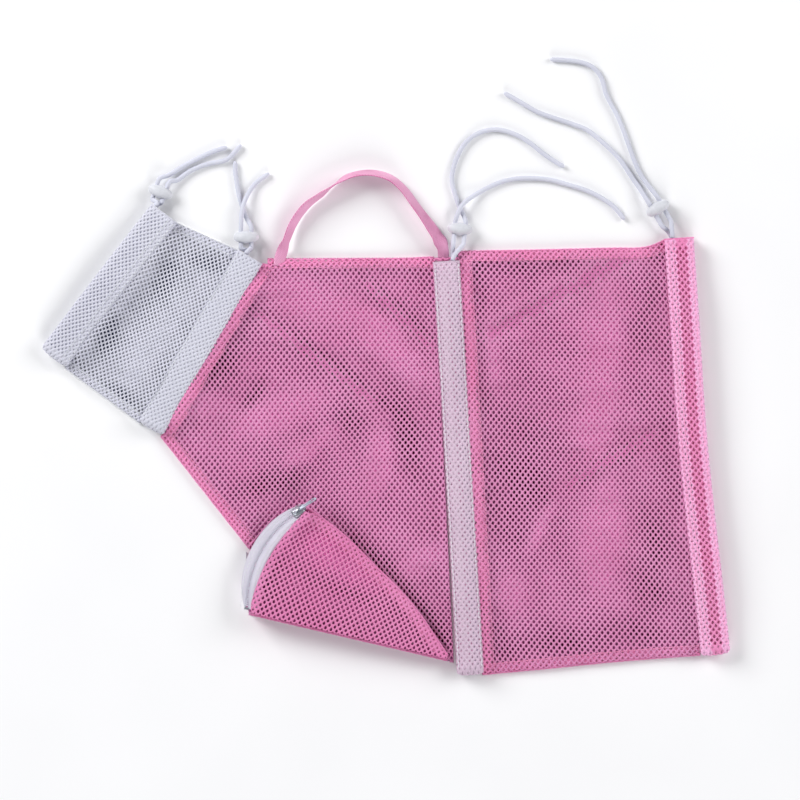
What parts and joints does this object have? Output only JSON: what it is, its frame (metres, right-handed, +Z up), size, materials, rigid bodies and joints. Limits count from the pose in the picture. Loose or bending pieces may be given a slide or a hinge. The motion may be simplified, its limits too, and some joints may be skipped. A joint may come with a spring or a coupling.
{
  "type": "mesh laundry bag",
  "caption": "Flat net bag with drawstring head cover, neck, waist and tail channels, a webbing handle and a zipped corner folded up over its front.",
  "frame": {"origin": "middle of the bag's base, on the surface it lies on, cord tails left out", "axes": "+X from the head cover to the tail opening, +Y towards the handle, +Z up from the surface"},
  "size_m": [0.5353, 0.4821, 0.0208],
  "materials": {
    "white_net": "white polyester net, soft sheen",
    "pink_net": "lilac pink polyester net, soft sheen",
    "pink_trim": "bright pink net, several layers thick",
    "pink_webbing": "pink woven webbing",
    "white_cord": "white braided polyester cord",
    "silicone_white": "white soft silicone, satin",
    "zipper_tape": "white woven tape",
    "zipper_coil": "white nylon coil",
    "zipper_metal": "grey-white painted die casting"
  },
  "bodies": {
    "bag": {"head_cover_front": "white_net", "head_cover_back": "white_net", "head_top_seam": "white_net", "head_bottom_seam": "white_net", "nose_channel": "white_net", "neck_band": "white_net", "waist_band": "white_net", "tail_channel": "pink_trim", "chest_front": "pink_net", "chest_back": "pink_net", "chest_top_seam": "pink_trim", "chest_left_seam": "pink_trim", "rear_front": "pink_net", "rear_back": "pink_net", "rear_top_seam": "pink_trim", "rear_bottom_seam": "pink_trim", "waist_top_strip": "pink_trim", "handle_tab_left": "pink_webbing", "handle_tab_right": "pink_webbing", "zipper_lower_run": "zipper_tape", "nose_cord_tail_left": "white_cord", "nose_cord_tail_right": "white_cord", "neck_cord_tail_left": "white_cord", "neck_cord_tail_right": "white_cord", "waist_cord_tail_left": "white_cord", "waist_cord_tail_right": "white_cord", "tail_cord_tail_left": "white_cord", "tail_cord_tail_right": "white_cord", "nose_cord_in_channel": "white_cord", "neck_cord_in_channel": "white_cord", "waist_cord_in_channel": "white_cord", "tail_cord_in_channel": "white_cord"},
    "leg_flap": {"leg_flap_upper": "pink_net", "leg_flap_lower": "pink_net", "leg_flap_seam": "pink_trim", "zipper_tape_outer": "zipper_tape", "zipper_tape_inner": "zipper_tape", "zipper_coil_outer": "zipper_coil", "zipper_coil_inner": "zipper_coil", "zipper_top_stop": "zipper_metal", "zipper_bottom_stop": "zipper_metal"},
    "handle": {"handle_strap": "pink_webbing"},
    "slider": {"zipper_slider": "zipper_metal"},
    "pull": {"zipper_pull": "zipper_metal"},
    "nose_lock": {"nose_cord_lock": "silicone_white"},
    "neck_lock": {"neck_cord_lock": "silicone_white"},
    "waist_lock": {"waist_cord_lock": "silicone_white"},
    "tail_lock": {"tail_cord_lock": "silicone_white"}
  },
  "joints": [
    {"name": "nose_lock_slide", "type": "slide", "parent": "bag", "child": "nose_lock", "axis": [0.3499, 0.9368, 0], "range_m": [-0.002, 0.005]},
    {"name": "neck_lock_slide", "type": "slide", "parent": "bag", "child": "neck_lock", "axis": [0, 1, 0], "range_m": [-0.003, 0.003]},
    {"name": "waist_lock_slide", "type": "slide", "parent": "bag", "child": "waist_lock", "axis": [0.1, 0.995, 0], "range_m": [-0.006, 0.001]},
    {"name": "tail_lock_slide", "type": "slide", "parent": "bag", "child": "tail_lock", "axis": [-0.5, 0.866, 0], "range_m": [-0.008, 0.005]},
    {"name": "handle_swing", "type": "hinge", "parent": "bag", "child": "handle", "pos_m": [-0.08255, 0.12205, 0.007], "axis": [0.9983, 0.059, 0], "range_deg": [0, 105]},
    {"name": "leg_flap_fold", "type": "hinge", "parent": "bag", "child": "leg_flap", "pos_m": [-0.10685, -0.15045, 0.012], "axis": [0.9732, -0.23, 0], "range_deg": [0, 180]},
    {"name": "zipper_run", "type": "hinge", "parent": "leg_flap", "child": "slider", "pos_m": [-0.02055, -0.14295, 0.0158], "axis": [0, 0, 1], "range_deg": [0, 52]},
    {"name": "pull_swing", "type": "hinge", "parent": "slider", "child": "pull", "pos_m": [-0.06728, -0.06769, 0.01893], "axis": [0.4871, -0.7501, 0.4472], "range_deg": [0, 150]}
  ]
}
